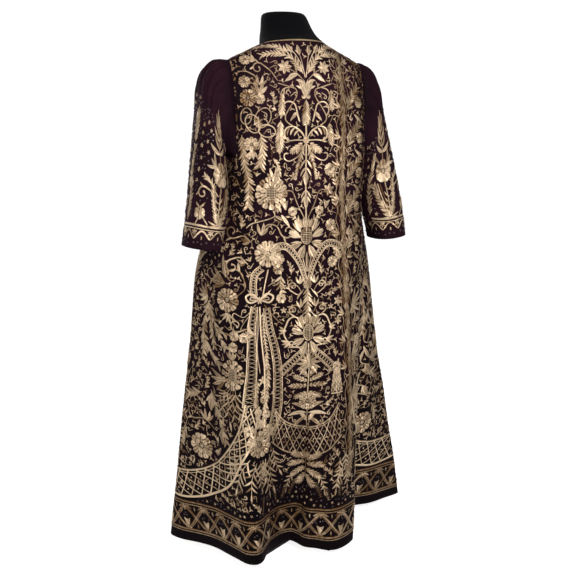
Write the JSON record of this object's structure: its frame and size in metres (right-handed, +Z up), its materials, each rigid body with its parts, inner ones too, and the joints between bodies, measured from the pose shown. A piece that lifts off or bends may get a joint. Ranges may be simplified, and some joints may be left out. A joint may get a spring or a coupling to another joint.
{
  "type": "embroidered velvet kaftan on a limbless dress form",
  "caption": "Long aubergine velvet kaftan with dense gold metal-thread flowers, elbow-length sleeves and an open front, on a black dress form.",
  "frame": {"origin": "on the floor under the middle of the stand's foot, at the foot's flat underside", "axes": "+Z up; the garment's back faces +Y and its front -Y; the wearer's left is +X"},
  "size_m": [0.7315, 0.4322, 1.46],
  "materials": {
    "velvet": "silk velvet pile",
    "braid": "woven gilt metal thread",
    "jersey": "matt stretch cloth",
    "steel": "satin black paint"
  },
  "bodies": {
    "root": {"back": "velvet", "gore_back_left": "velvet", "gore_front_left": "velvet", "front_left": "velvet", "gore_back_right": "velvet", "gore_front_right": "velvet", "front_right": "velvet", "neck_braid": "braid", "sleeve_left": "velvet", "sleeve_right": "velvet", "form_torso": "jersey", "stand_pole": "steel", "stand_foot": "steel"}
  },
  "joints": []
}
